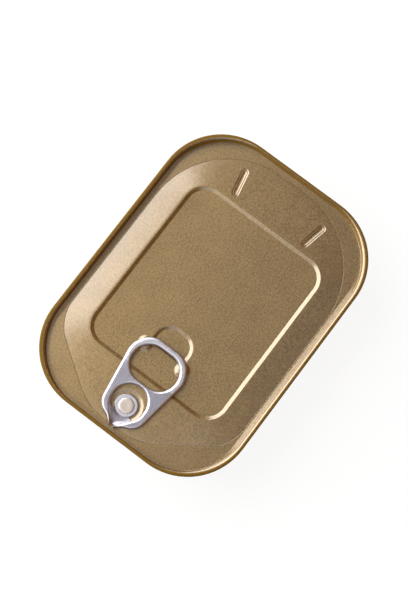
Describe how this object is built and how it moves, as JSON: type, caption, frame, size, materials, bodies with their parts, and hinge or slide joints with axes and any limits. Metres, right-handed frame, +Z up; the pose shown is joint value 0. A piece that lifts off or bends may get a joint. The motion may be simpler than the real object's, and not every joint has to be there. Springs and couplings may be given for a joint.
{
  "type": "rectangular food can",
  "caption": "Shallow rectangular easy-open food can with rounded corners, rolled seam, scored tear panel that peels back and a riveted ring-pull tab that lifts.",
  "frame": {"origin": "middle of the standing face, on the surface that the can stands on", "axes": "+X along the can, away from the pull tab; +Y across the can; +Z up, out of the lid"},
  "size_m": [0.106, 0.077, 0.022],
  "materials": {
    "body_lacquer": "gold-lacquered drawn aluminium sheet, satin",
    "lid_lacquer": "gold-lacquered aluminium end sheet, fine satin grain",
    "compound": "cured sealing compound, matt",
    "rivet_metal": "lacquered aluminium, stretched pale by drawing",
    "tab_metal": "bare rolled aluminium, curled edges polished"
  },
  "bodies": {
    "can": {"can_body": "body_lacquer", "lid_ring": "lid_lacquer", "seaming_compound": "compound"},
    "lid_panel": {"tear_panel": "lid_lacquer", "rivet": "rivet_metal", "tab_tongue": "tab_metal"},
    "tab": {"pull_tab": "tab_metal"}
  },
  "joints": [
    {"name": "panel_peel", "type": "hinge", "parent": "can", "child": "lid_panel", "pos_m": [0.0498, 0, 0.0189], "axis": [0, 1, 0], "range_deg": [0, 110]},
    {"name": "tab_lift", "type": "hinge", "parent": "lid_panel", "child": "tab", "pos_m": [-0.04992, 0, 0.0197], "axis": [0, -1, 0], "range_deg": [0, 90]}
  ]
}
